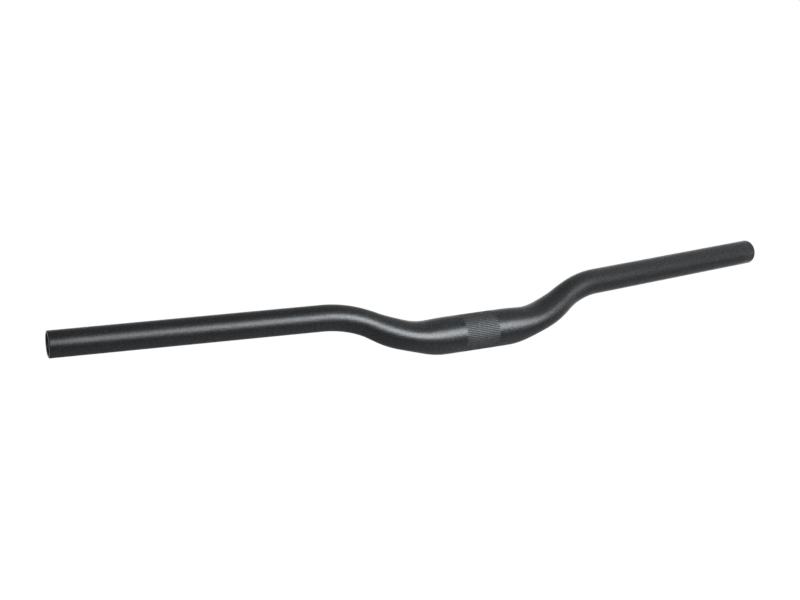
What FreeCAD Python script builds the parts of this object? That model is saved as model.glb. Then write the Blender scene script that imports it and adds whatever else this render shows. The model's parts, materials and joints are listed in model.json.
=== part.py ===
# Riser handlebar of a mountain bike: one aluminium tube, butted, swaged and bent, with a knurled clamp zone.
# Millimetres and degrees. The origin is the middle of the clamp zone, +X runs along it to the rider's left,
# +Y points backwards to the rider and +Z is up. The two halves mirror each other in the plane X = 0.
import FreeCAD, Part
import math
import os

from FreeCAD import Placement, Rotation, Vector

# Overall form
BAR_WIDTH = 720.0           # tip to tip along X, before the rims are rounded
RISE = 26.0                 # from the axis of the clamp zone up to the axes of the grips
BACKSWEEP_ANGLE = 12.0      # the grips, and the slopes below them, point this far backwards

# Clamp zone, the straight middle that the stem holds
CLAMP_DIAMETER = 31.8
CLAMP_LENGTH = 65.0
CLAMP_WALL = 2.6

# Bends, measured on the tube's axis: the lower ones leave the clamp zone, the upper ones level the tube out
LOWER_BEND_RADIUS = 126.0
UPPER_BEND_RADIUS = 98.0
STRAIGHT_BETWEEN_BENDS = 2.0

# Swaging, from the clamp zone outwards along the axis: two tapers, with an even stretch between them
FIRST_TAPER = 34.5
EVEN_STRETCH = 7.0
SECOND_TAPER = 35.5
TAPER_EASE = 0.25           # share of a taper, at each of its ends, over which its slope sets in
SLOPE_DIAMETER = 25.2
SLOPE_WALL = 2.3

# Grips, straight from the upper bends to the tips
GRIP_DIAMETER = 22.2
GRIP_WALL = 2.0
RIM_ROUND = 1.0             # outer edge of each tip
MOUTH_CHAMFER = 0.4         # inner edge of each tip

# Knurl, fine straight grooves along the middle of the clamp zone
KNURL_LENGTH = 33.5
KNURL_GROOVES = 60
GROOVE_WIDTH = 0.9
GROOVE_DEPTH = 0.3
GROOVE_RUNOUT = 0.8         # length over which each end of a groove climbs to the surface

# How the solids are made
SWAGE_SECTIONS = 12         # stretches between the rings that the swaged part is lofted through
CUT_OVERSHOOT = 0.2         # how far a cutting solid stands out of the surface that it cuts
BISECTIONS = 60
SAME_PLACE = 0.001          # two points that are closer than this are one

ORIGIN = Vector(0, 0, 0)
X_AXIS = Vector(1, 0, 0)

clamp_radius = CLAMP_DIAMETER / 2
slope_radius = SLOPE_DIAMETER / 2
grip_radius = GRIP_DIAMETER / 2
clamp_bore = clamp_radius - CLAMP_WALL
slope_bore = slope_radius - SLOPE_WALL
grip_bore = grip_radius - GRIP_WALL


def heading_of(climb, sweep):
    """Unit vector out to the left end that climbs and points backwards by these angles."""
    climb, sweep = math.radians(climb), math.radians(sweep)
    return Vector(math.cos(climb) * math.cos(sweep), math.cos(climb) * math.sin(sweep), math.sin(climb))


def tangent_length(radius, before, after):
    """From the corner where two headings meet to where a bend of this radius leaves either of them."""
    return radius * math.tan(before.getAngle(after) / 2)


grip_heading = heading_of(0, BACKSWEEP_ANGLE)


def rise_for(climb):
    """Height that the tube's axis gains between the clamp zone and a grip, for this climb of the slope."""
    slope = heading_of(climb, BACKSWEEP_ANGLE)
    corner_to_corner = (
        tangent_length(LOWER_BEND_RADIUS, X_AXIS, slope)
        + STRAIGHT_BETWEEN_BENDS
        + tangent_length(UPPER_BEND_RADIUS, slope, grip_heading)
    )
    return corner_to_corner * slope.z


def climb_for_rise():
    """Climb of the slope, in degrees, that brings the grips to RISE with the bends as they are."""
    low, high = 0.0, 90.0
    for _ in range(BISECTIONS):
        middle = (low + high) / 2
        if rise_for(middle) < RISE:
            low = middle
        else:
            high = middle
    return low


class BarAxis:
    """The tube's axis in the left half. A station on it is a length along it from the bar's middle."""

    def __init__(self):
        slope_heading = heading_of(climb_for_rise(), BACKSWEEP_ANGLE)
        # each stretch is a length, with the radius and the axis of its turn where it is a bend
        self.stretches = []
        self.add_straight(CLAMP_LENGTH / 2)
        self.add_bend(LOWER_BEND_RADIUS, X_AXIS, slope_heading)
        self.add_straight(STRAIGHT_BETWEEN_BENDS)
        self.add_bend(UPPER_BEND_RADIUS, slope_heading, grip_heading)
        grip_start = sum(length for length, _, _ in self.stretches)
        # the tip's face is square to the grip, so its front edge reaches further out in X than its middle
        tip_x = BAR_WIDTH / 2 - grip_radius * grip_heading.y
        grip_length = (tip_x - self.at(grip_start)[0].x) / grip_heading.x
        self.tip = grip_start + grip_length
        self.add_straight(grip_length + CUT_OVERSHOOT)

    def add_straight(self, length):
        self.stretches.append((length, None, None))

    def add_bend(self, radius, before, after):
        self.stretches.append((radius * before.getAngle(after), radius, before.cross(after).normalize()))

    def at(self, station):
        """Place and heading of the axis at this station."""
        place, heading = ORIGIN, X_AXIS
        to_go = station
        for length, bend_radius, turn_axis in self.stretches:
            run = min(to_go, length)
            to_go -= run
            if bend_radius:
                centre = place + turn_axis.cross(heading) * bend_radius
                turn = Rotation(turn_axis, math.degrees(run / bend_radius))
                place = centre + turn.multVec(place - centre)
                heading = turn.multVec(heading)
            else:
                place = place + heading * run
        return place, heading

    def ring(self, station, radius):
        """A circle around the axis."""
        place, heading = self.at(station)
        circle = Part.makeCircle(radius, ORIGIN, X_AXIS)
        circle.Placement = Placement(place, Rotation(X_AXIS, heading))
        return Part.Wire(circle)

    def even_solids(self, start, end, radius):
        """Round solids of one radius between two stations: a cylinder, or a part of a torus, in each stretch."""
        solids = []
        stretch_start = 0.0
        for length, bend_radius, turn_axis in self.stretches:
            first = max(start, stretch_start)
            last = min(end, stretch_start + length)
            stretch_start += length
            if last <= first:
                continue
            place, heading = self.at(first)
            if bend_radius:
                centre = place + turn_axis.cross(heading) * bend_radius
                turn = math.degrees((last - first) / bend_radius)
                solids.append(Part.Face(self.ring(first, radius)).revolve(centre, turn_axis, turn))
            else:
                solids.append(Part.makeCylinder(radius, last - first, place, heading))
        return solids


axis = BarAxis()
swage_start = CLAMP_LENGTH / 2
swage_end = swage_start + FIRST_TAPER + EVEN_STRETCH + SECOND_TAPER


def taper_share(path_share):
    """Share of a taper that is done at this share of its path: an even slope that eases in and out."""
    path_share = min(max(path_share, 0.0), 1.0)
    slope = 1 / (1 - TAPER_EASE)
    from_nearer_end = min(path_share, 1 - path_share)
    if from_nearer_end < TAPER_EASE:
        done = slope * from_nearer_end ** 2 / (2 * TAPER_EASE)
    else:
        done = slope * (from_nearer_end - TAPER_EASE / 2)
    return done if path_share <= 0.5 else 1 - done


def swaged_solid(clamp_end_radius, even_radius, grip_start_radius):
    """The two tapers with the even stretch between them, along the bent axis."""
    rings = []
    for step in range(SWAGE_SECTIONS + 1):
        station = swage_start + (swage_end - swage_start) * step / SWAGE_SECTIONS
        first_done = taper_share((station - swage_start) / FIRST_TAPER)
        second_done = taper_share(1 - (swage_end - station) / SECOND_TAPER)
        radius = (
            clamp_end_radius
            + first_done * (even_radius - clamp_end_radius)
            + second_done * (grip_start_radius - even_radius)
        )
        rings.append(axis.ring(station, radius))
    return Part.makeLoft(rings, True)


def round_bar(middle_radius, even_radius, end_radius, end_station):
    """The bar's axis filled with round solids: the whole tube, or the core that hollows it out."""
    solids = axis.even_solids(0, swage_start, middle_radius)
    solids.append(swaged_solid(middle_radius, even_radius, end_radius))
    solids += axis.even_solids(swage_end, end_station, end_radius)
    left_half = solids[0].fuse(solids[1:])
    return left_half.fuse(left_half.mirror(ORIGIN, X_AXIS)).removeSplitter()


def tip_edges(tube, radius):
    """The round edges of this radius at the two tips."""
    tip_x = axis.at(axis.tip)[0].x
    rounds = [edge for edge in tube.Edges if isinstance(edge.Curve, Part.Circle)]
    at_tips = [edge for edge in rounds if abs(abs(edge.Curve.Center.x) - tip_x) < SAME_PLACE]
    return [edge for edge in at_tips if abs(edge.Curve.Radius - radius) < SAME_PLACE]


def knurl_grooves():
    """V-shaped grooves all round the clamp zone, each with ends that climb out to the surface."""
    flare = (GROOVE_DEPTH + CUT_OVERSHOOT) / GROOVE_DEPTH
    mouth_width = GROOVE_WIDTH * flare
    mouth_length = KNURL_LENGTH + 2 * GROOVE_RUNOUT * (flare - 1)
    runout = GROOVE_RUNOUT * flare
    cutter = Part.makeWedge(
        0, 0, 0, mouth_width / 2, runout,
        mouth_length, GROOVE_DEPTH + CUT_OVERSHOOT, mouth_width, mouth_width / 2, mouth_length - runout,
    )
    # the mouth of the groove faces -Y before the turn about the clamp zone's axis
    cutter.translate(Vector(-mouth_length / 2, -clamp_radius - CUT_OVERSHOOT, -mouth_width / 2))
    grooves = []
    for number in range(KNURL_GROOVES):
        groove = cutter.copy()
        groove.rotate(ORIGIN, X_AXIS, 360 * number / KNURL_GROOVES)
        grooves.append(groove)
    return grooves


def handlebar():
    """The finished tube: swaged and bent outside, butted inside, with eased tips and a knurled middle."""
    tube = round_bar(clamp_radius, slope_radius, grip_radius, axis.tip)
    core = round_bar(clamp_bore, slope_bore, grip_bore, axis.tip + CUT_OVERSHOOT)
    tube = tube.cut(core)
    tube = tube.makeFillet(RIM_ROUND, tip_edges(tube, grip_radius))
    tube = tube.makeChamfer(MOUTH_CHAMFER, tip_edges(tube, grip_bore))
    return tube.cut(knurl_grooves()).Solids[0]


os.makedirs("parts", exist_ok=True)
handlebar().exportStep("parts/handlebar.step")
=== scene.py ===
import json
import math

import bpy
from mathutils import Matrix, Vector


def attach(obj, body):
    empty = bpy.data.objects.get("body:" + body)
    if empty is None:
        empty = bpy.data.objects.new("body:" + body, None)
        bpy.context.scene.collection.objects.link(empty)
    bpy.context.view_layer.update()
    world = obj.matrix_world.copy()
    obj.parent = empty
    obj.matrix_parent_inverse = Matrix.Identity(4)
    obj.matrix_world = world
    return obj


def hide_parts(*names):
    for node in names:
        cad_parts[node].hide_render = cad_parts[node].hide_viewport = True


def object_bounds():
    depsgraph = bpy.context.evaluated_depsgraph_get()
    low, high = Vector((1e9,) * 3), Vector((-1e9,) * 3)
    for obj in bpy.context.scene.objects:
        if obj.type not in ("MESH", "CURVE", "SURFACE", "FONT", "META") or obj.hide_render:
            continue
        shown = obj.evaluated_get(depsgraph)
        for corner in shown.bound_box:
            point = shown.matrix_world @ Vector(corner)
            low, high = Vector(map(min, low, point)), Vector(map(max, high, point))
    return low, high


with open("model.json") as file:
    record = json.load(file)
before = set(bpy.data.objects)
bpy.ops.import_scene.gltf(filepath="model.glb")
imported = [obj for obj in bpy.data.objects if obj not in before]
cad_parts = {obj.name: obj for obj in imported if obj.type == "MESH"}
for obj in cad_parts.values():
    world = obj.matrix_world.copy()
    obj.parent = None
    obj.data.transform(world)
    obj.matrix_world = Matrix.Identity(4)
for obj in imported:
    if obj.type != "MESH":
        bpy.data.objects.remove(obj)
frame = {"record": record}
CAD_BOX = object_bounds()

bl_info = {
    "name": "Riser handlebar",
    "version": (1, 0, 0),
    "blender": (4, 5, 0),
    "location": "3D View > Sidebar > Handlebar",
    "description": "Builds a riser handlebar's tube with its satin black finish, and the studio around it",
    "category": "Add Mesh",
}

MILLIMETRE = 0.001
IMAGE_WIDTH = 800
SENSOR_WIDTH = 36.0         # of the camera, in millimetres
VIEW_REACH = 100.0          # how far the camera sees
UP = Vector((0, 0, 1))
WHITE = (1.0, 1.0, 1.0, 1.0)

MOUNTS = {mount["name"]: mount for mount in frame["record"]["mounts"]}


def mount_size(mount, name):
    """A size of one of the part's mounts, in metres."""
    return MOUNTS[mount]["dims"][name] * MILLIMETRE


class HandlebarSizes(bpy.types.PropertyGroup):
    """Sizes of the tube, with the part's own mounts as defaults where they give them."""

    clamp_radius: bpy.props.FloatProperty(
        name="Clamp Radius", description="Outer radius of the straight middle that the stem holds",
        default=mount_size("stem_clamp", "r_mm"), unit="LENGTH", precision=5,
    )
    clamp_length: bpy.props.FloatProperty(
        name="Clamp Length", description="Length of the straight middle",
        default=mount_size("stem_clamp", "length_mm"), unit="LENGTH", precision=5,
    )
    clamp_wall: bpy.props.FloatProperty(
        name="Clamp Wall", description="Wall of the tube in the middle",
        default=0.0026, unit="LENGTH", precision=5,
    )
    slope_half_height: bpy.props.FloatProperty(
        name="Slope Half Height", description="Half the tube's height between the two tapers",
        default=0.0126, unit="LENGTH", precision=5,
    )
    slope_wall: bpy.props.FloatProperty(
        name="Slope Wall", description="Wall of the tube in the even stretch between the two tapers",
        default=0.0023, unit="LENGTH", precision=5,
    )
    grip_radius: bpy.props.FloatProperty(
        name="Grip Radius", description="Outer radius of the grips",
        default=mount_size("left_grip", "r_mm"), unit="LENGTH", precision=5,
    )
    bore_radius: bpy.props.FloatProperty(
        name="Bore Radius", description="Inner radius of the grips",
        default=mount_size("left_mouth", "r_mm"), unit="LENGTH", precision=5,
    )
    lower_bend_radius: bpy.props.FloatProperty(
        name="Lower Bend Radius", description="Radius of the bends beside the clamp zone, on the axis",
        default=0.126, unit="LENGTH", precision=5,
    )
    taper_lead: bpy.props.FloatProperty(
        name="Taper Lead", description="How far inside the clamp zone's end the first taper sets in",
        default=0.004, unit="LENGTH", precision=5,
    )
    first_taper: bpy.props.FloatProperty(
        name="First Taper", description="Length of the taper that starts in the clamp zone",
        default=0.041, unit="LENGTH", precision=5,
    )
    even_stretch: bpy.props.FloatProperty(
        name="Even Stretch", description="Length of the even stretch between the two tapers",
        default=0.0045, unit="LENGTH", precision=5,
    )
    second_taper: bpy.props.FloatProperty(
        name="Second Taper", description="Length of the taper that ends at the grip's radius",
        default=0.0355, unit="LENGTH", precision=5,
    )
    width_taper_start: bpy.props.FloatProperty(
        name="Width Taper Start", description="Length along the axis at which the width starts to taper",
        default=0.048, unit="LENGTH", precision=5,
    )
    width_taper_end: bpy.props.FloatProperty(
        name="Width Taper End", description="Length along the axis at which the width meets the grip's",
        default=0.122, unit="LENGTH", precision=5,
    )
    width_taper_ease: bpy.props.FloatProperty(
        name="Width Taper Ease", description="Share of the width's taper that eases in at each end",
        default=0.35, min=0.01, max=0.5, subtype="FACTOR",
    )
    taper_ease: bpy.props.FloatProperty(
        name="Taper Ease", description="Share of each taper of the height that eases in at each end",
        default=0.5, min=0.01, max=0.5, subtype="FACTOR",
    )
    rim_round: bpy.props.FloatProperty(
        name="Rim Round", description="Radius of the outer edge of each tip",
        default=0.001, unit="LENGTH", precision=5,
    )
    mouth_round: bpy.props.FloatProperty(
        name="Mouth Round", description="Radius of the inner edge of each tip",
        default=0.0004, unit="LENGTH", precision=5,
    )
    knurl_length: bpy.props.FloatProperty(
        name="Knurl Length", description="Length of the knurled band around the middle",
        default=0.0335, unit="LENGTH", precision=5,
    )
    knurl_grooves: bpy.props.IntProperty(
        name="Knurl Grooves", description="Number of grooves around the clamp zone",
        default=60, min=3,
    )
    groove_depth: bpy.props.FloatProperty(
        name="Groove Depth", description="Depth of each groove of the knurl",
        default=0.0002, unit="LENGTH", precision=5,
    )
    groove_runout: bpy.props.FloatProperty(
        name="Groove Runout", description="Length over which each end of a groove climbs to the surface",
        default=0.0004, unit="LENGTH", precision=5,
    )


class HandlebarFinish(bpy.types.PropertyGroup):
    """Colours and texture of the tube's skin and of its bare bore."""

    skin_colour: bpy.props.FloatVectorProperty(
        name="Skin Colour", description="Colour of the satin black skin",
        default=(0.0048, 0.0052, 0.0056), min=0, max=1, subtype="COLOR",
    )
    skin_roughness: bpy.props.FloatProperty(
        name="Skin Roughness", description="Roughness of the skin before its grain varies it",
        default=0.35, min=0, max=1, subtype="FACTOR",
    )
    ridge_roughness: bpy.props.FloatProperty(
        name="Ridge Roughness", description="Roughness of the knurl's crowns beyond the skin's",
        default=0.12, min=0, max=1, subtype="FACTOR",
    )
    groove_roughness: bpy.props.FloatProperty(
        name="Groove Roughness", description="Roughness of the knurl's grooves beyond the skin's",
        default=0.5, min=0, max=1, subtype="FACTOR",
    )
    skin_index: bpy.props.FloatProperty(
        name="Skin Index", description="Refractive index of the skin, which sets how much it reflects",
        default=1.72, min=1, max=3,
    )
    seal_weight: bpy.props.FloatProperty(
        name="Seal Weight", description="Share of the clear seal where the grain has its mean height",
        default=0.23, min=0, max=1, subtype="FACTOR",
    )
    seal_grain: bpy.props.FloatProperty(
        name="Seal Grain", description="How strongly the seal's share follows the blasted grain",
        default=5.5, min=0,
    )
    grain_size: bpy.props.FloatProperty(
        name="Grain Size", description="Spacing of the blasted grain",
        default=0.0012, unit="LENGTH", precision=5,
    )
    grain_height: bpy.props.FloatProperty(
        name="Grain Height", description="Height of the blasted grain",
        default=0.00012, unit="LENGTH", precision=6,
    )
    # the knurl's crowns are lifted towards this colour, which gives both rubbed wear and painted sheen on
    # the knurl
    bare_colour: bpy.props.FloatVectorProperty(
        name="Bare Colour", description="Colour of bare aluminium, in the bore and on the rubbed knurl",
        default=(0.52, 0.53, 0.54), min=0, max=1, subtype="COLOR",
    )
    bare_roughness: bpy.props.FloatProperty(
        name="Bare Roughness", description="Roughness of the drawn aluminium in the bore",
        default=0.42, min=0, max=1, subtype="FACTOR",
    )


class StudioSettings(bpy.types.PropertyGroup):
    """Camera, softboxes, room and floor. Azimuths turn from -Y towards +X."""

    camera_azimuth: bpy.props.FloatProperty(
        name="Camera Azimuth", description="Direction of the camera around the bar",
        default=math.radians(-30.43), subtype="ANGLE",
    )
    camera_elevation: bpy.props.FloatProperty(
        name="Camera Elevation", description="How far the camera looks down",
        default=math.radians(8.97), subtype="ANGLE",
    )
    camera_roll: bpy.props.FloatProperty(
        name="Camera Roll", description="Turn of the camera about its view",
        default=math.radians(-2.38), subtype="ANGLE",
    )
    camera_distance: bpy.props.FloatProperty(
        name="Camera Distance", description="From the camera to the plane through the bar's middle",
        default=1.58087, unit="LENGTH", precision=5,
    )
    camera_shift_across: bpy.props.FloatProperty(
        name="Camera Shift Across", description="How far right of the view's middle the bar's middle lies",
        default=0.06356, unit="LENGTH", precision=5,
    )
    camera_shift_up: bpy.props.FloatProperty(
        name="Camera Shift Up", description="How far above the view's middle the bar's middle lies",
        default=-0.02658, unit="LENGTH", precision=5,
    )
    focal_pixels: bpy.props.FloatProperty(
        name="Focal Length", description="Focal length of the camera, in pixels of the image",
        default=1852.46, min=1,
    )
    key_azimuth: bpy.props.FloatProperty(
        name="Key Azimuth", description="Direction of the main softbox around the bar",
        default=math.radians(17.9), subtype="ANGLE",
    )
    key_elevation: bpy.props.FloatProperty(
        name="Key Elevation", description="Height of the main softbox over the bar, as an angle",
        default=math.radians(15.5), subtype="ANGLE",
    )
    edge_azimuth: bpy.props.FloatProperty(
        name="Edge Azimuth", description="Direction of the narrow softbox in which the main one fades out",
        default=math.radians(40.5), subtype="ANGLE",
    )
    fill_azimuth: bpy.props.FloatProperty(
        name="Fill Azimuth", description="Direction of the dimmer softbox around the bar",
        default=math.radians(-15.5), subtype="ANGLE",
    )
    fill_elevation: bpy.props.FloatProperty(
        name="Fill Elevation", description="Height of the dimmer softbox over the bar, as an angle",
        default=math.radians(22.5), subtype="ANGLE",
    )
    softbox_distance: bpy.props.FloatProperty(
        name="Softbox Distance", description="From the bar's middle to each softbox",
        default=1.68, unit="LENGTH",
    )
    key_width: bpy.props.FloatProperty(
        name="Key Width", description="Width of the main softbox",
        default=0.957, unit="LENGTH",
    )
    edge_width: bpy.props.FloatProperty(
        name="Edge Width", description="Width of the narrow softbox",
        default=0.457, unit="LENGTH",
    )
    fill_width: bpy.props.FloatProperty(
        name="Fill Width", description="Width of the dimmer softbox",
        default=1.12, unit="LENGTH",
    )
    softbox_height: bpy.props.FloatProperty(
        name="Softbox Height", description="Height of each softbox",
        default=0.92, unit="LENGTH",
    )
    key_power: bpy.props.FloatProperty(
        name="Key Power", description="Power of the main softbox",
        default=22.3, min=0, unit="POWER",
    )
    edge_power: bpy.props.FloatProperty(
        name="Edge Power", description="Power of the narrow softbox",
        default=3.3, min=0, unit="POWER",
    )
    fill_power: bpy.props.FloatProperty(
        name="Fill Power", description="Power of the dimmer softbox",
        default=7.2, min=0, unit="POWER",
    )
    softbox_colour: bpy.props.FloatVectorProperty(
        name="Softbox Colour", description="Colour of the softboxes' light, slightly cool",
        default=(0.905, 0.955, 1.0), min=0, max=1, subtype="COLOR",
    )
    room_colour: bpy.props.FloatVectorProperty(
        name="Room Colour", description="Colour of the room's light on the camera's side, slightly cool",
        default=(0.94, 0.97, 1.0), min=0, max=1, subtype="COLOR",
    )
    room_level: bpy.props.FloatProperty(
        name="Room Level", description="Brightness of the room on the camera's side, where 1 is white",
        default=0.27, min=0,
    )
    overhead_level: bpy.props.FloatProperty(
        name="Overhead Level", description="Brightness of the room above the bar, where 1 is white",
        default=0.17, min=0,
    )
    side_level: bpy.props.FloatProperty(
        name="Side Level", description="Brightness of the room to the camera's right, where 1 is white",
        default=0.355, min=0,
    )
    floor_drop: bpy.props.FloatProperty(
        name="Floor Drop", description="From the bar's lowest point down to the floor",
        default=1.5, unit="LENGTH",
    )
    floor_size: bpy.props.FloatProperty(
        name="Floor Size", description="Width of the floor",
        default=40.0, unit="LENGTH",
    )
    floor_colour: bpy.props.FloatVectorProperty(
        name="Floor Colour", description="Colour of the floor below the bar",
        default=(0.45, 0.45, 0.45), min=0, max=1, subtype="COLOR",
    )
    side_floor_colour: bpy.props.FloatVectorProperty(
        name="Side Floor Colour", description="Colour of the floor to the camera's right",
        default=(0.7, 0.7, 0.7), min=0, max=1, subtype="COLOR",
    )


WHOLE_NUMBER_TOLERANCE = 0.5    # two whole numbers that are closer than this are the same


class Wire:
    """One output of a node, on which Python's operators add Math nodes."""

    def __init__(self, graph, socket):
        self.graph = graph
        self.socket = socket

    def maths(self, operation, *values):
        return self.graph.add("ShaderNodeMath", {"operation": operation}, dict(enumerate(values)))["Value"]

    def __add__(self, other):
        return self.maths("ADD", self, other)

    def __radd__(self, other):
        return self.maths("ADD", other, self)

    def __sub__(self, other):
        return self.maths("SUBTRACT", self, other)

    def __rsub__(self, other):
        return self.maths("SUBTRACT", other, self)

    def __mul__(self, other):
        return self.maths("MULTIPLY", self, other)

    def __rmul__(self, other):
        return self.maths("MULTIPLY", other, self)

    def __truediv__(self, other):
        return self.maths("DIVIDE", self, other)

    def __rtruediv__(self, other):
        return self.maths("DIVIDE", other, self)

    def __mod__(self, other):
        return self.maths("MODULO", self, other)

    def floor(self):
        return self.maths("FLOOR", self)

    def size(self):
        return self.maths("ABSOLUTE", self)

    def cosine(self):
        return self.maths("COSINE", self)

    def sine(self):
        return self.maths("SINE", self)

    def equals(self, other):
        return self.maths("COMPARE", self, other, WHOLE_NUMBER_TOLERANCE)

    def at_most(self, other):
        return self.maths("MINIMUM", self, other)

    def at_least(self, other):
        return self.maths("MAXIMUM", self, other)

    def limited(self):
        return self.at_least(0.0).at_most(1.0)


class Added:
    """A node that was added, whose outputs are looked up by name."""

    def __init__(self, graph, node):
        self.graph = graph
        self.node = node

    def __getitem__(self, name):
        socket = next(entry for entry in self.node.outputs if entry.name == name and entry.enabled)
        return Wire(self.graph, socket)


class Graph:
    """A node tree that is filled by code."""

    def __init__(self, tree):
        self.tree = tree
        tree.nodes.clear()

    def add(self, kind, settings=None, sockets=None):
        """A node of this kind, with its settings made first and then values or links on its sockets."""
        node = self.tree.nodes.new(kind)
        for name, value in (settings or {}).items():
            setattr(node, name, value)
        for name, value in (sockets or {}).items():
            if isinstance(name, int):
                socket = node.inputs[name]
            else:
                socket = next(entry for entry in node.inputs if entry.name == name and entry.enabled)
            if isinstance(value, Wire):
                self.tree.links.new(value.socket, socket)
            else:
                socket.default_value = value
        return Added(self, node)

    def vector_maths(self, operation, *values):
        return self.add("ShaderNodeVectorMath", {"operation": operation}, dict(enumerate(values)))["Vector"]

    def scaled(self, vector, factor):
        node = self.add("ShaderNodeVectorMath", {"operation": "SCALE"}, {"Vector": vector, "Scale": factor})
        return node["Vector"]

    def mixed_colour(self, share, first, second):
        node = self.add("ShaderNodeMix", {"data_type": "RGBA"}, {"Factor": share, "A": first, "B": second})
        return node["Result"]


def opaque(colour):
    """A colour property with its alpha added."""
    return (*colour, 1.0)


class BarPath:
    """The tube's axis: corners with rounded turns, worked out from the part's mounts."""

    def __init__(self, sizes):
        mouth = MOUNTS["left_mouth"]
        middle = Vector(mouth["pos_m"])
        half_grip = mount_size("left_mouth", "length_mm") / 2
        grip_heading = Vector(mouth["axis"])
        self.tip = middle + grip_heading * half_grip
        grip_start = middle - grip_heading * half_grip

        # seen from above, a slope and its grip lie on one line,
        # which meets the clamp zone's axis at the lower corner
        self.lower_corner = Vector((middle.x - middle.y * grip_heading.x / grip_heading.y, 0, 0))
        self.lower_radius = sizes.lower_bend_radius
        lower_tangent = self.lower_corner.x - sizes.clamp_length / 2
        lower_turn = 2 * math.atan(lower_tangent / self.lower_radius)
        climb = math.acos(math.cos(lower_turn) / grip_heading.x)
        slope_heading = grip_heading * math.cos(climb) + UP * math.sin(climb)
        self.upper_corner = self.lower_corner + slope_heading * (middle.z / math.sin(climb))
        upper_tangent = (grip_start - self.upper_corner).length
        # the upper bend turns by the whole climb, so that the grip is level
        self.upper_radius = upper_tangent / math.tan(climb / 2)

        # stations are lengths along the axis from the bar's middle
        self.lower_start = sizes.clamp_length / 2
        self.taper_start = self.lower_start - sizes.taper_lead
        self.lower_end = self.lower_start + self.lower_radius * lower_turn
        between = (self.upper_corner - self.lower_corner).length - lower_tangent - upper_tangent
        self.upper_start = self.lower_end + between
        self.upper_end = self.upper_start + self.upper_radius * climb
        self.tip_station = self.upper_end + (self.tip - grip_start).length

    def corners(self):
        """Corners from the right tip to the left one, each with the radius of its turn."""
        left = [
            (self.lower_corner, self.lower_radius),
            (self.upper_corner, self.upper_radius),
            (self.tip, 0.0),
        ]
        right = [(Vector((-point.x, point.y, point.z)), radius) for point, radius in reversed(left)]
        return right + left


LEAD_RINGS = 3              # stretches from the start of the first taper to the end of the clamp zone
LOWER_BEND_RINGS = 28       # stretches that each lower bend is divided into
UPPER_BEND_RINGS = 18
GRIP_RINGS = 10
ROUND_STEPS = 4             # stretches of each rounded edge at a tip
BAND_RINGS = 4              # stretches of the knurled band between the run-outs of its grooves
FILLET_POINTS = 96          # points on each turn of the axis, so that the rings find it smooth
COLUMNS_PER_GROOVE = 4
GROOVE_COLUMN = 2           # the column of each four that lies at the bottom of a groove
HALF_POINT = 0.5            # added to a point's number so that rounding can't move it to the row before
MERGE_DISTANCE = 0.00001
SHARP_ANGLE = math.radians(50)
SKIN = 0.0                  # share of the bare bore on the skin and the rims
BORE = 1.0
ROUND = 1.0                 # width to height of a round ring


def taper_share(path_share, ease):
    """Share of a taper that is done at this share of its path: an even slope that eases in and out."""
    path_share = min(max(path_share, 0.0), 1.0)
    slope = 1 / (1 - ease)
    from_nearer_end = min(path_share, 1 - path_share)
    if from_nearer_end < ease:
        done = slope * from_nearer_end ** 2 / (2 * ease)
    else:
        done = slope * (from_nearer_end - ease / 2)
    return done if path_share <= 0.5 else 1 - done


def steps_between(first, last, count):
    """Evenly spaced values after the first one, up to and including the last one."""
    return [first + (last - first) * step / count for step in range(1, count + 1)]


def skin_stations(path, sizes):
    """Stations of the skin's rings in the left half, from the middle to where the rim's edge starts."""
    band_end = sizes.knurl_length / 2
    stations = [0.0]
    stations += steps_between(0.0, band_end - sizes.groove_runout, BAND_RINGS)
    stations += [band_end, band_end + sizes.groove_runout, path.taper_start]
    stations += steps_between(path.taper_start, path.lower_start, LEAD_RINGS)
    stations += steps_between(path.lower_start, path.lower_end, LOWER_BEND_RINGS)
    stations.append(path.upper_start)
    stations += steps_between(path.upper_start, path.upper_end, UPPER_BEND_RINGS)
    stations += steps_between(path.upper_end, path.tip_station - sizes.rim_round, GRIP_RINGS)
    return stations


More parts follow.
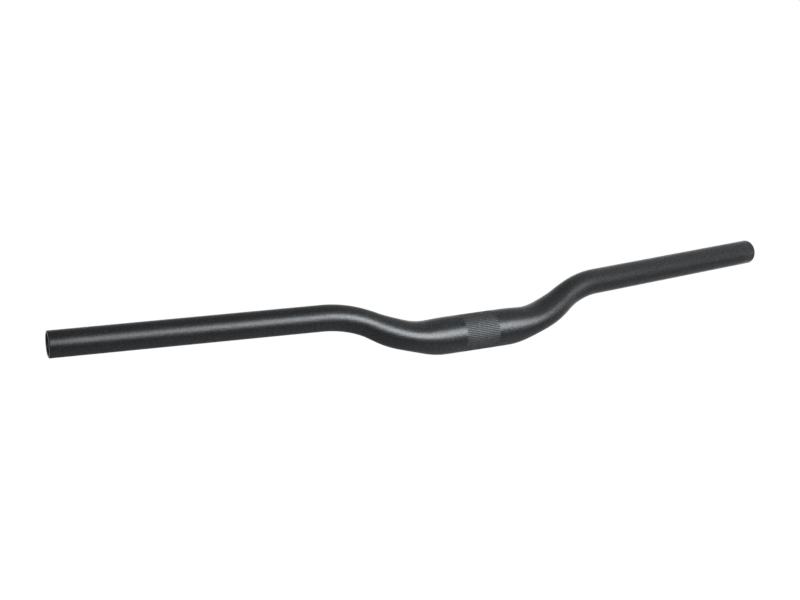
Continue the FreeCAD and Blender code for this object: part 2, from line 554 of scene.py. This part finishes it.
def wall_section(path, sizes):
    """Closed outline of the cut wall, as rings.

    Each ring is its station, half its height, its share of the bare bore and its width to its height.
    The lower bends flatten the tube: its height tapers in two steps, and its width in one, further out.
    """
    second_start = path.taper_start + sizes.first_taper + sizes.even_stretch
    width_taper = sizes.width_taper_end - sizes.width_taper_start

    def ring_at(station, clamp, slope, grip, bare):
        first_done = taper_share((station - path.taper_start) / sizes.first_taper, sizes.taper_ease)
        second_done = taper_share((station - second_start) / sizes.second_taper, sizes.taper_ease)
        half_height = clamp + first_done * (slope - clamp) + second_done * (grip - slope)
        width_done = taper_share((station - sizes.width_taper_start) / width_taper, sizes.width_taper_ease)
        half_width = clamp + width_done * (grip - clamp)
        return station, half_height, bare, half_width / half_height

    skin_heights = (sizes.clamp_radius, sizes.slope_half_height, sizes.grip_radius)
    bore_heights = (
        sizes.clamp_radius - sizes.clamp_wall,
        sizes.slope_half_height - sizes.slope_wall,
        sizes.bore_radius,
    )
    stations = skin_stations(path, sizes)
    skin = [ring_at(station, *skin_heights, SKIN) for station in stations]
    quarter = math.pi / 2
    rim = []
    for turn in steps_between(0.0, quarter, ROUND_STEPS):
        rim.append((
            path.tip_station - sizes.rim_round * (1 - math.sin(turn)),
            sizes.grip_radius - sizes.rim_round * (1 - math.cos(turn)),
            SKIN,
            ROUND,
        ))
    mouth = []
    for turn in [0.0] + steps_between(0.0, quarter, ROUND_STEPS):
        mouth.append((
            path.tip_station - sizes.mouth_round * (1 - math.cos(turn)),
            sizes.bore_radius + sizes.mouth_round * (1 - math.sin(turn)),
            SKIN,
            ROUND,
        ))
    # the bore's rings follow the skin's, up to the last one that is clear of the mouth's edge
    bore_end = path.tip_station - 2 * sizes.rim_round
    inside = [station for station in reversed(stations) if station < bore_end]
    bore = [ring_at(station, *bore_heights, BORE) for station in inside]
    left_half = skin + rim + mouth + bore
    right_half = [(-station, *rest) for station, *rest in reversed(left_half) if station > 0]
    return left_half + right_half


def poly_curve(name, points, radii=None, closed=False):
    """An object that holds one straight-edged spline."""
    curve = bpy.data.curves.new(name, "CURVE")
    curve.dimensions = "3D"
    spline = curve.splines.new("POLY")
    spline.points.add(len(points) - 1)
    spline.use_cyclic_u = closed
    for number, point in enumerate(points):
        spline.points[number].co = (*point, 1.0)
        if radii:
            spline.points[number].radius = radii[number]
    guide = bpy.data.objects.new(name, curve)
    bpy.context.scene.collection.objects.link(guide)
    return guide


TREE_INPUTS = (
    ("Wall Section", "NodeSocketGeometry"),
    ("Axis", "NodeSocketObject"),
    ("Grooves", "NodeSocketInt"),
    ("Groove Depth", "NodeSocketFloat"),
    ("Groove Runout", "NodeSocketFloat"),
    ("Knurl Length", "NodeSocketFloat"),
    ("Finish", "NodeSocketMaterial"),
)


def tube_tree():
    """Geometry nodes that carry the wall's section along the axis and press the knurl's grooves into it."""
    tree = bpy.data.node_groups.new("Bent tube with knurl", "GeometryNodeTree")
    tree.is_modifier = True
    for name, kind in TREE_INPUTS:
        tree.interface.new_socket(name, in_out="INPUT", socket_type=kind)
    tree.interface.new_socket("Tube", in_out="OUTPUT", socket_type="NodeSocketGeometry")
    graph = Graph(tree)
    given = graph.add("NodeGroupInput")
    section = given["Wall Section"]

    # the axis, with its corners rounded
    corners = graph.add(
        "GeometryNodeObjectInfo", sockets={"Object": given["Axis"], "As Instance": False},
    )["Geometry"]
    turn_radius = graph.add("GeometryNodeInputRadius")["Radius"]
    axis = graph.add(
        "GeometryNodeFilletCurve", {"mode": "POLY"},
        {"Curve": corners, "Count": FILLET_POINTS, "Radius": turn_radius, "Limit Radius": False},
    )["Curve"]
    axis_length = graph.add("GeometryNodeCurveLength", sockets={"Curve": axis})["Length"]

    # a sheet with one row for each ring of the section, whose last row and column fall on the first ones
    rings = graph.add(
        "GeometryNodeAttributeDomainSize", {"component": "CURVE"}, {"Geometry": section},
    )["Point Count"]
    columns = given["Grooves"] * COLUMNS_PER_GROOVE
    sheet = graph.add(
        "GeometryNodeMeshGrid", sockets={"Vertices X": rings + 1, "Vertices Y": columns + 1},
    )["Mesh"]
    index = graph.add("GeometryNodeInputIndex")["Index"]
    row = ((index + HALF_POINT) / (columns + 1)).floor()
    column = index - row * (columns + 1)

    # where each row lies on the axis, and how high and wide it is
    def of_ring(data_type, value):
        return graph.add(
            "GeometryNodeSampleIndex", {"data_type": data_type},
            {"Geometry": section, "Value": value, "Index": row % rings},
        )["Value"]

    ring = of_ring("FLOAT_VECTOR", graph.add("GeometryNodeInputPosition")["Position"])
    ring_parts = graph.add("ShaderNodeSeparateXYZ", sockets={"Vector": ring})
    station, half_height, bare = ring_parts["X"], ring_parts["Y"], ring_parts["Z"]
    width_to_height = of_ring("FLOAT", graph.add("GeometryNodeInputRadius")["Radius"])
    place = graph.add(
        "GeometryNodeSampleCurve", {"mode": "LENGTH", "use_all_curves": True},
        {"Curves": axis, "Length": station + axis_length / 2},
    )
    across = graph.vector_maths("CROSS_PRODUCT", tuple(UP), place["Tangent"])
    backwards = graph.vector_maths("NORMALIZE", across)
    upwards = graph.vector_maths("CROSS_PRODUCT", place["Tangent"], backwards)
    turn = column * (2 * math.pi) / columns
    outwards = graph.vector_maths(
        "ADD", graph.scaled(backwards, turn.cosine() * width_to_height), graph.scaled(upwards, turn.sine()),
    )

    # the grooves: every fourth column sinks inside the band, and climbs out at the band's ends
    in_band = ((given["Knurl Length"] / 2 - station.size()) / given["Groove Runout"]).limited()
    in_groove = (column % COLUMNS_PER_GROOVE).equals(GROOVE_COLUMN)
    on_skin = 1 - bare
    sink = in_band * in_groove * on_skin * given["Groove Depth"]
    spot = graph.vector_maths("ADD", place["Position"], graph.scaled(outwards, half_height - sink))
    shape = graph.add("GeometryNodeSetPosition", sockets={"Geometry": sheet, "Position": spot})["Geometry"]

    # what the finish needs to know about each point
    marks = {
        "bare_bore": bare,
        "along": station,
        "around": turn,
        "groove": in_band * in_groove * on_skin,
        "ridge": in_band * (1 - in_groove) * on_skin,
    }
    for name, value in marks.items():
        shape = graph.add(
            "GeometryNodeStoreNamedAttribute", {"data_type": "FLOAT", "domain": "POINT"},
            {"Geometry": shape, "Name": name, "Value": value},
        )["Geometry"]

    shape = graph.add(
        "GeometryNodeMergeByDistance", sockets={"Geometry": shape, "Distance": MERGE_DISTANCE},
    )["Geometry"]
    shape = graph.add("GeometryNodeSetShadeSmooth", {"domain": "FACE"}, {"Geometry": shape})["Geometry"]
    edge_angle = graph.add("GeometryNodeInputMeshEdgeAngle")["Unsigned Angle"]
    sharp = graph.add(
        "FunctionNodeCompare", {"operation": "GREATER_THAN"}, {"A": edge_angle, "B": SHARP_ANGLE},
    )["Result"]
    shape = graph.add(
        "GeometryNodeSetShadeSmooth", {"domain": "EDGE"},
        {"Geometry": shape, "Selection": sharp, "Shade Smooth": False},
    )["Geometry"]
    shape = graph.add("GeometryNodeRealizeInstances", sockets={"Geometry": shape})["Geometry"]
    shape = graph.add(
        "GeometryNodeSetMaterial", sockets={"Geometry": shape, "Material": given["Finish"]},
    )["Geometry"]
    graph.add("NodeGroupOutput", sockets={"Tube": shape})
    return tree


def set_inputs(modifier, values):
    """Give a geometry nodes modifier its inputs, which it knows by the tree's socket identifiers."""
    for item in modifier.node_group.interface.items_tree:
        if item.in_out == "INPUT" and item.name in values:
            modifier[item.identifier] = values[item.name]


def plain_piece(name, shaped):
    """A piece whose mesh is what the object with modifiers comes to, which is then removed."""
    bpy.context.view_layer.update()
    evaluated = shaped.evaluated_get(bpy.context.evaluated_depsgraph_get())
    mesh = bpy.data.meshes.new_from_object(evaluated)
    mesh.name = name
    bpy.data.objects.remove(shaped)
    piece = bpy.data.objects.new(name, mesh)
    bpy.context.scene.collection.objects.link(piece)
    return piece


NOISE_MEAN = 0.5            # about what a noise texture comes to on average
PLAIN_GAIN = 0.5            # how much of its strength a noise keeps in each finer layer
GRAIN_GAIN = 0.6
SCUFF_AND_SHEEN_GAIN = 0.7
GRAIN_DETAIL = 2.0          # finer layers of each noise
FINE_GRAIN_DETAIL = 1.0
CLOUD_DETAIL = 2.0
SCUFF_AND_SHEEN_DETAIL = 4.0
LINE_DETAIL = 3.0
FINE_GRAIN_STEP = 3         # how many times finer the second grain is than the first
CLOUD_SIZE = 0.035          # spacing of the broad drift in the skin's colour and roughness
SCUFF_AND_SHEEN_SIZE = 0.006          # spacing of the patches in which the knurl is rubbed paler and carries painted sheen
CLOUD_SHADE = 0.3           # how strongly each noise varies the skin's colour
GRAIN_SHADE = 0.5
SCUFF_AND_SHEEN_START = 0.1           # value of the scuff noise at which the knurl starts to look rubbed and to take painted sheen
# how strongly the knurl's crowns are lifted towards bare metal: partly rubbed wear, partly painted sheen
SCUFF_AND_SHEEN_SHADE = 0.1
LINES_AROUND = 18           # drawing lines in each radian around the bore
LINES_ALONG = 12            # breaks of these lines in each metre along it
LINE_CONTRAST = 1.4
LINE_OFFSET = 0.2
DARK_LINE = 0.7             # brightness of the darkest lines as a share of the bare metal's
GRAIN_ROUGHENING = 0.22     # how strongly each noise varies the roughness
CLOUD_ROUGHENING = 0.06
LINE_ROUGHENING = 0.2
GRAIN_RELIEF = 0.7          # height of each noise as a share of the grain's height
FINE_GRAIN_RELIEF = 0.3
LINE_RELIEF = 0.3


def satin_black_finish(finish):
    """Black satin skin with a fine blasted grain, made paler on the knurl by rubbed wear and painted sheen,
    and bare metal in the bore.
    """
    material = bpy.data.materials.new("satin_black_tube")
    material.use_nodes = True
    graph = Graph(material.node_tree)
    place = graph.add("ShaderNodeTexCoord")["Object"]

    def mark(name):
        return graph.add("ShaderNodeAttribute", {"attribute_name": name})["Fac"]

    def noise(spacing, detail, gain=PLAIN_GAIN):
        return graph.add(
            "ShaderNodeTexNoise", {"noise_dimensions": "3D"},
            {"Vector": place, "Scale": 1 / spacing, "Detail": detail, "Roughness": gain},
        )["Fac"]

    bare = mark("bare_bore")
    ridge = mark("ridge")
    groove = mark("groove")
    grain = noise(finish.grain_size, GRAIN_DETAIL, GRAIN_GAIN)
    fine_grain = noise(finish.grain_size / FINE_GRAIN_STEP, FINE_GRAIN_DETAIL)
    cloud = noise(CLOUD_SIZE, CLOUD_DETAIL)
    scuff_and_sheen = noise(SCUFF_AND_SHEEN_SIZE, SCUFF_AND_SHEEN_DETAIL, SCUFF_AND_SHEEN_GAIN)

    # the skin's colour drifts a little, and the crowns of the knurl are lifted paler: partly rubbed wear,
    # partly painted sheen that stands in for the light the knurl's facets scatter
    drift = (cloud - NOISE_MEAN) * CLOUD_SHADE + (grain - NOISE_MEAN) * GRAIN_SHADE + 1
    skin = graph.scaled(tuple(finish.skin_colour), drift)
    # painted sheen: this lift also stands in for light scattered by the knurl's grooves, besides the
    # rubbing
    rubbed_and_sheen = (ridge * (scuff_and_sheen - SCUFF_AND_SHEEN_START) * SCUFF_AND_SHEEN_SHADE).limited()
    skin = graph.mixed_colour(rubbed_and_sheen, skin, opaque(finish.bare_colour))

    # drawing lines run along the bore
    line_place = graph.add("ShaderNodeCombineXYZ", sockets={
        "X": mark("around") * LINES_AROUND, "Y": mark("along") * LINES_ALONG, "Z": 0.0,
    })["Vector"]
    lines = graph.add(
        "ShaderNodeTexNoise", {"noise_dimensions": "3D"},
        {"Vector": line_place, "Scale": 1.0, "Detail": LINE_DETAIL},
    )["Fac"]
    dark_colour = tuple(DARK_LINE * part for part in finish.bare_colour)
    bore = graph.mixed_colour(
        (lines * LINE_CONTRAST - LINE_OFFSET).limited(), opaque(dark_colour), opaque(finish.bare_colour),
    )
    colour = graph.mixed_colour(bare, skin, bore)

    unevenness = (grain - NOISE_MEAN) * GRAIN_ROUGHENING + (cloud - NOISE_MEAN) * CLOUD_ROUGHENING
    knurling = ridge * finish.ridge_roughness + groove * finish.groove_roughness
    skin_roughness = finish.skin_roughness + unevenness + knurling
    bore_roughness = finish.bare_roughness + (lines - NOISE_MEAN) * LINE_ROUGHENING
    roughness = skin_roughness * (1 - bare) + bore_roughness * bare

    # the seal lies unevenly on the grain, which speckles the highlights
    seal = (finish.seal_weight + (grain - NOISE_MEAN) * finish.seal_grain).limited() * (1 - bare)

    skin_height = grain * GRAIN_RELIEF + fine_grain * FINE_GRAIN_RELIEF
    height = skin_height * (1 - bare) + lines * bare * LINE_RELIEF
    bump = graph.add(
        "ShaderNodeBump", sockets={"Strength": 1.0, "Distance": finish.grain_height, "Height": height},
    )["Normal"]
    shader = graph.add("ShaderNodeBsdfPrincipled", sockets={
        "Base Color": colour,
        "Roughness": roughness.limited(),
        "Metallic": bare,
        "IOR": finish.skin_index,
        "Coat Weight": seal,
        "Coat Roughness": finish.skin_roughness,
        "Normal": bump,
    })["BSDF"]
    graph.add("ShaderNodeOutputMaterial", sockets={"Surface": shader})
    return material


class HANDLEBAR_OT_tube(bpy.types.Operator):
    """Build the bent, swaged and knurled tube with its finish"""

    bl_idname = "handlebar.tube"
    bl_label = "Tube"

    def execute(self, context):
        sizes = context.scene.handlebar_sizes
        path = BarPath(sizes)
        corners = path.corners()
        axis = poly_curve("tube_axis", [point for point, _ in corners], [radius for _, radius in corners])
        rings = wall_section(path, sizes)
        shaped = poly_curve(
            "tube_section", [ring[:3] for ring in rings], [ring[3] for ring in rings], closed=True,
        )
        modifier = shaped.modifiers.new("Tube", "NODES")
        modifier.node_group = tube_tree()
        set_inputs(modifier, {
            "Axis": axis,
            "Grooves": sizes.knurl_grooves,
            "Groove Depth": sizes.groove_depth,
            "Groove Runout": sizes.groove_runout,
            "Knurl Length": sizes.knurl_length,
            "Finish": satin_black_finish(context.scene.handlebar_finish),
        })
        tube = plain_piece("knurled_tube", shaped)
        bpy.data.objects.remove(axis)
        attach(tube, "root")
        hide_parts("handlebar")
        return {"FINISHED"}


def direction_of(azimuth, elevation):
    """Unit vector towards a place around the bar. Azimuths turn from -Y towards +X."""
    level = math.cos(elevation)
    return Vector((math.sin(azimuth) * level, -math.cos(azimuth) * level, math.sin(elevation)))


def placed_axes(right, up, back, place):
    """Matrix of an object with these axes at this place."""
    matrix = Matrix((right, up, back)).transposed().to_4x4()
    matrix.translation = place
    return matrix


def photo_camera(studio):
    """The camera that sees the bar as the photograph does."""
    back = direction_of(studio.camera_azimuth, studio.camera_elevation)
    level_right = UP.cross(back).normalized()
    level_up = back.cross(level_right)
    right = level_right * math.cos(studio.camera_roll) + level_up * math.sin(studio.camera_roll)
    up = back.cross(right)
    data = bpy.data.cameras.new("camera")
    data.sensor_fit = "HORIZONTAL"
    data.sensor_width = SENSOR_WIDTH
    data.lens = studio.focal_pixels / IMAGE_WIDTH * SENSOR_WIDTH
    data.clip_end = VIEW_REACH
    camera = bpy.data.objects.new("camera", data)
    place = back * studio.camera_distance - right * studio.camera_shift_across - up * studio.camera_shift_up
    camera.matrix_world = placed_axes(right, up, back, place)
    bpy.context.scene.collection.objects.link(camera)
    bpy.context.scene.camera = camera


def softbox(name, studio, azimuth, elevation, width, power):
    """A rectangular soft light that faces the bar's middle."""
    data = bpy.data.lights.new(name, "AREA")
    data.shape = "RECTANGLE"
    data.size = width
    data.size_y = studio.softbox_height
    data.energy = power
    data.color = studio.softbox_colour
    lamp = bpy.data.objects.new(name, data)
    back = direction_of(azimuth, elevation)
    right = UP.cross(back).normalized()
    lamp.matrix_world = placed_axes(-right, back.cross(-right), back, back * studio.softbox_distance)
    lamp.visible_camera = False
    bpy.context.scene.collection.objects.link(lamp)


def studio_softboxes(studio):
    """The main softbox, the narrow one in which it fades out, and the dimmer one."""
    softboxes = (
        ("key_softbox", studio.key_azimuth, studio.key_elevation, studio.key_width, studio.key_power),
        ("edge_softbox", studio.edge_azimuth, studio.key_elevation, studio.edge_width, studio.edge_power),
        ("fill_softbox", studio.fill_azimuth, studio.fill_elevation, studio.fill_width, studio.fill_power),
    )
    for name, azimuth, elevation, width, power in softboxes:
        softbox(name, studio, azimuth, elevation, width, power)


def share_towards(graph, place, heading, start, end):
    """0 up to one distance from the bar along a heading, rising to 1 at another."""
    reach = graph.add(
        "ShaderNodeVectorMath", {"operation": "DOT_PRODUCT"}, {0: place, 1: tuple(heading)},
    )["Value"]
    return graph.add(
        "ShaderNodeMapRange", {"interpolation_type": "SMOOTHSTEP"},
        {"Value": reach, "From Min": start, "From Max": end},
    )["Result"]


WHITE_FLOOR_START = 2.2     # distance behind the bar at which the floor starts to turn white
WHITE_FLOOR_END = 3.3
WHITE_WALL_START = 0.86     # how far towards the back a direction points where the surround turns white
WHITE_WALL_END = 0.97
SIDE = Vector((1, 0, 0))    # the camera's right, where room and floor are lighter
SIDE_START = 0.15           # how far towards that side a direction points where the room turns lighter
SIDE_END = 0.6
OVERHEAD_START = 0.6        # how far upwards a direction points where the room turns darker
OVERHEAD_END = 0.95
SIDE_FLOOR_START = 0.0      # distance towards that side at which the floor turns lighter
SIDE_FLOOR_END = 1.2
SHADOW_SHARE = 0.2          # how much of the floor's own light and shadow stays in its white
FLOOR_WHITE = 1.2           # strength of the floor's white, which makes up for the share of its own light


def away_from_camera(studio):
    """Level direction from the bar to what lies behind it."""
    return direction_of(studio.camera_azimuth + math.pi, 0.0)


def studio_floor(studio):
    """A pale floor well below the bar. Behind the bar it shows as white, and still takes its shadow."""
    half = studio.floor_size / 2
    height = CAD_BOX[0][2] - studio.floor_drop
    mesh = bpy.data.meshes.new("floor")
    corners = [(-half, -half, height), (half, -half, height), (half, half, height), (-half, half, height)]
    mesh.from_pydata(corners, [], [(0, 1, 2, 3)])
    material = bpy.data.materials.new("pale_floor")
    material.use_nodes = True
    graph = Graph(material.node_tree)
    place = graph.add("ShaderNodeTexCoord")["Object"]
    behind = share_towards(graph, place, away_from_camera(studio), WHITE_FLOOR_START, WHITE_FLOOR_END)
    aside = share_towards(graph, place, SIDE, SIDE_FLOOR_START, SIDE_FLOOR_END)
    colour = graph.mixed_colour(aside, opaque(studio.floor_colour), opaque(studio.side_floor_colour))
    colour = graph.mixed_colour(behind, colour, WHITE)
    paper = graph.add("ShaderNodeBsdfDiffuse", sockets={"Color": colour})["BSDF"]
    white = graph.add("ShaderNodeEmission", sockets={"Strength": FLOOR_WHITE})["Emission"]
    rays = graph.add("ShaderNodeLightPath")
    seen = (rays["Is Camera Ray"] + rays["Is Glossy Ray"] + rays["Is Transmission Ray"]).limited()
    shown = graph.add(
        "ShaderNodeMixShader", sockets={0: seen * behind * (1 - SHADOW_SHARE), 1: paper, 2: white},
    )["Shader"]
    graph.add("ShaderNodeOutputMaterial", sockets={"Surface": shown})
    mesh.materials.append(material)
    floor = bpy.data.objects.new("floor", mesh)
    bpy.context.scene.collection.objects.link(floor)


def studio_surround(studio):
    """Light from all around: a dim room, darker overhead and lighter to the right, white behind the bar."""
    world = bpy.data.worlds.new("studio_surround")
    world.use_nodes = True
    graph = Graph(world.node_tree)
    direction = graph.add("ShaderNodeTexCoord")["Generated"]
    behind = share_towards(graph, direction, away_from_camera(studio), WHITE_WALL_START, WHITE_WALL_END)
    aside = share_towards(graph, direction, SIDE, SIDE_START, SIDE_END)
    overhead = share_towards(graph, direction, UP, OVERHEAD_START, OVERHEAD_END)
    front = overhead * (studio.overhead_level - studio.room_level) + studio.room_level
    room = aside * studio.side_level + (1 - aside) * front
    strength = behind + (1 - behind) * room
    colour = graph.mixed_colour(behind, opaque(studio.room_colour), WHITE)
    light = graph.add("ShaderNodeBackground", sockets={"Color": colour, "Strength": strength})["Background"]
    graph.add("ShaderNodeOutputWorld", sockets={"Surface": light})
    bpy.context.scene.world = world


class HANDLEBAR_OT_studio(bpy.types.Operator):
    """Set up the camera, the softboxes, the floor and the surround"""

    bl_idname = "handlebar.studio"
    bl_label = "Studio"

    def execute(self, context):
        studio = context.scene.handlebar_studio
        photo_camera(studio)
        studio_softboxes(studio)
        studio_floor(studio)
        studio_surround(studio)
        context.scene.view_settings.view_transform = "Standard"
        return {"FINISHED"}


class HANDLEBAR_PT_sidebar(bpy.types.Panel):
    """Lists the handlebar's settings and the steps that build it"""

    bl_idname = "HANDLEBAR_PT_sidebar"
    bl_label = "Riser Handlebar"
    bl_space_type = "VIEW_3D"
    bl_region_type = "UI"
    bl_category = "Handlebar"

    def draw(self, context):
        layout = self.layout
        groups = (
            (context.scene.handlebar_sizes, None),
            (context.scene.handlebar_finish, HANDLEBAR_OT_tube),
            (context.scene.handlebar_studio, HANDLEBAR_OT_studio),
        )
        for group, operator in groups:
            for name in group.__annotations__:
                layout.prop(group, name)
            if operator:
                layout.operator(operator.bl_idname)


CLASSES = (
    HandlebarSizes,
    HandlebarFinish,
    StudioSettings,
    HANDLEBAR_OT_tube,
    HANDLEBAR_OT_studio,
    HANDLEBAR_PT_sidebar,
)


def register():
    for each in CLASSES:
        bpy.utils.register_class(each)
    bpy.types.Scene.handlebar_sizes = bpy.props.PointerProperty(type=HandlebarSizes)
    bpy.types.Scene.handlebar_finish = bpy.props.PointerProperty(type=HandlebarFinish)
    bpy.types.Scene.handlebar_studio = bpy.props.PointerProperty(type=StudioSettings)


def unregister():
    del bpy.types.Scene.handlebar_studio
    del bpy.types.Scene.handlebar_finish
    del bpy.types.Scene.handlebar_sizes
    for each in reversed(CLASSES):
        bpy.utils.unregister_class(each)


def main():
    register()
    bpy.ops.handlebar.tube()
    bpy.ops.handlebar.studio()


if __name__ == "__main__":
    main()
